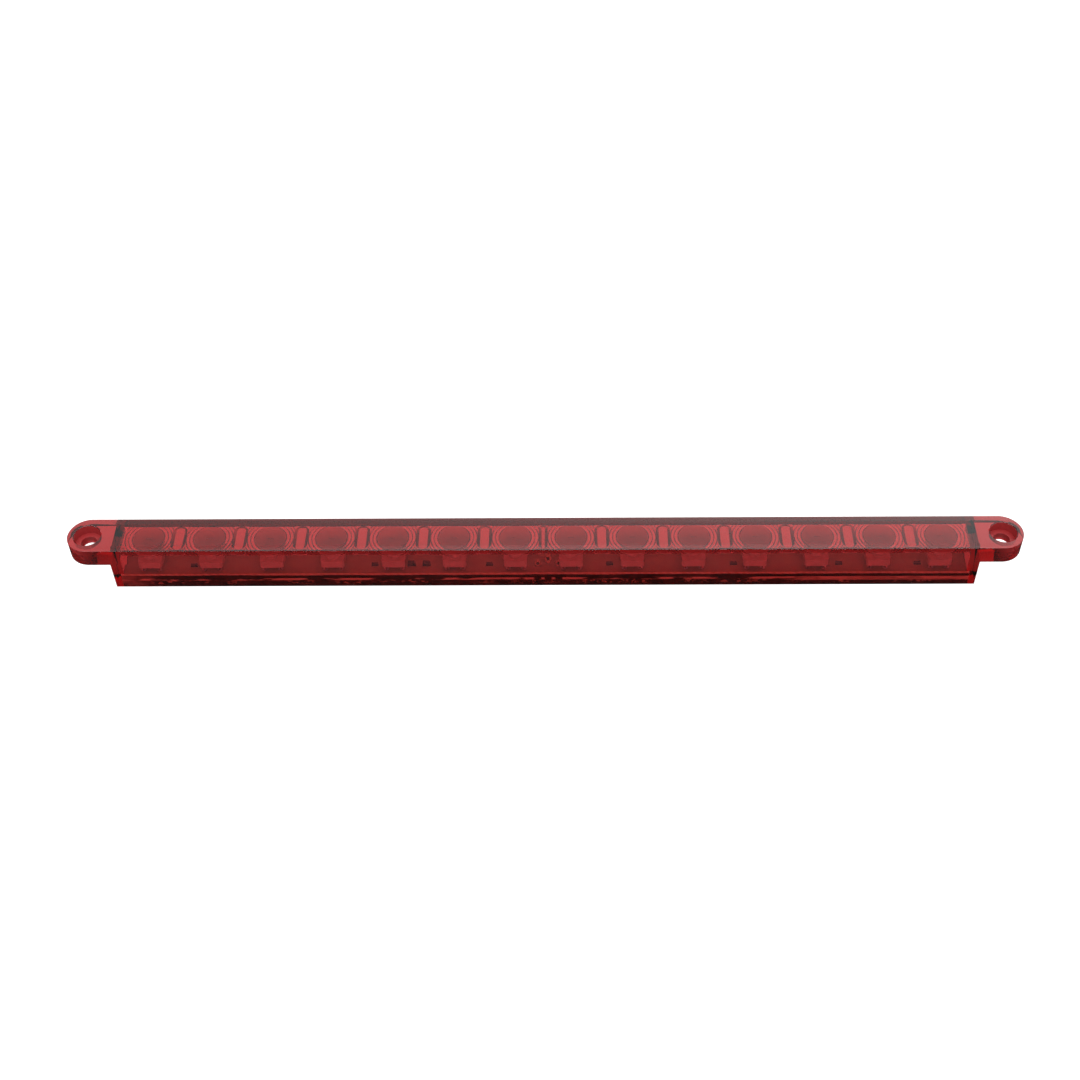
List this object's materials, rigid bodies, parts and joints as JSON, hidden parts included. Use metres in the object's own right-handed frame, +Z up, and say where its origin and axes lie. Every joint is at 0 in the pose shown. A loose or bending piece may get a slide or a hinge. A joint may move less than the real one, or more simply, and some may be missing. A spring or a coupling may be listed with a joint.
{
  "type": "third brake light",
  "caption": "Slim sealed third brake light: one clear red moulding with screw ears, a board with a row of LEDs inside, and black compound filling the back.",
  "frame": {"origin": "centre of the light's back, on the plane of the back rim and the compound, which is the lowest point", "axes": "+X along the light from its left ear to its right ear, as seen from in front with +Z up; +Z out of the lens face; +Y across the light"},
  "size_m": [0.3048, 0.0142, 0.0168],
  "materials": {
    "lens_housing": "clear red moulded polycarbonate, polished lens face, red all through",
    "circuit_board": "glass-fibre board with solder mask, bare yellowish edges",
    "potting_compound": "black poured epoxy, glossy skin with a slow ripple and small voids",
    "lead_grommet": "black rubber, satin",
    "eyelets": "tinned brass, dull",
    "led_body": "water-clear epoxy, moulded smooth",
    "led_frames": "tinned iron lead frame, satin",
    "resistors": "black glazed ceramic chip with tinned ends",
    "diodes": "black moulded epoxy with tinned ends"
  },
  "bodies": {
    "root": {"lens_housing": "lens_housing", "circuit_board": "circuit_board", "potting_compound": "potting_compound", "lead_grommet": "lead_grommet", "ground_lead_eyelet": "eyelets", "tail_lead_eyelet": "eyelets", "stop_lead_eyelet": "eyelets", "led_01": "led_body", "led_01_anode_frame": "led_frames", "led_01_cathode_frame": "led_frames", "led_02": "led_body", "led_02_anode_frame": "led_frames", "led_02_cathode_frame": "led_frames", "led_03": "led_body", "led_03_anode_frame": "led_frames", "led_03_cathode_frame": "led_frames", "led_04": "led_body", "led_04_anode_frame": "led_frames", "led_04_cathode_frame": "led_frames", "led_05": "led_body", "led_05_anode_frame": "led_frames", "led_05_cathode_frame": "led_frames", "led_06": "led_body", "led_06_anode_frame": "led_frames", "led_06_cathode_frame": "led_frames", "led_07": "led_body", "led_07_anode_frame": "led_frames", "led_07_cathode_frame": "led_frames", "led_08": "led_body", "led_08_anode_frame": "led_frames", "led_08_cathode_frame": "led_frames", "led_09": "led_body", "led_09_anode_frame": "led_frames", "led_09_cathode_frame": "led_frames", "led_10": "led_body", "led_10_anode_frame": "led_frames", "led_10_cathode_frame": "led_frames", "led_11": "led_body", "led_11_anode_frame": "led_frames", "led_11_cathode_frame": "led_frames", "led_12": "led_body", "led_12_anode_frame": "led_frames", "led_12_cathode_frame": "led_frames", "led_13": "led_body", "led_13_anode_frame": "led_frames", "led_13_cathode_frame": "led_frames", "led_14": "led_body", "led_14_anode_frame": "led_frames", "led_14_cathode_frame": "led_frames", "resistor_1": "resistors", "resistor_2": "resistors", "resistor_3": "resistors", "resistor_4": "resistors", "resistor_5": "resistors", "resistor_6": "resistors", "resistor_7": "resistors", "diode_1": "diodes", "diode_2": "diodes"}
  },
  "joints": []
}
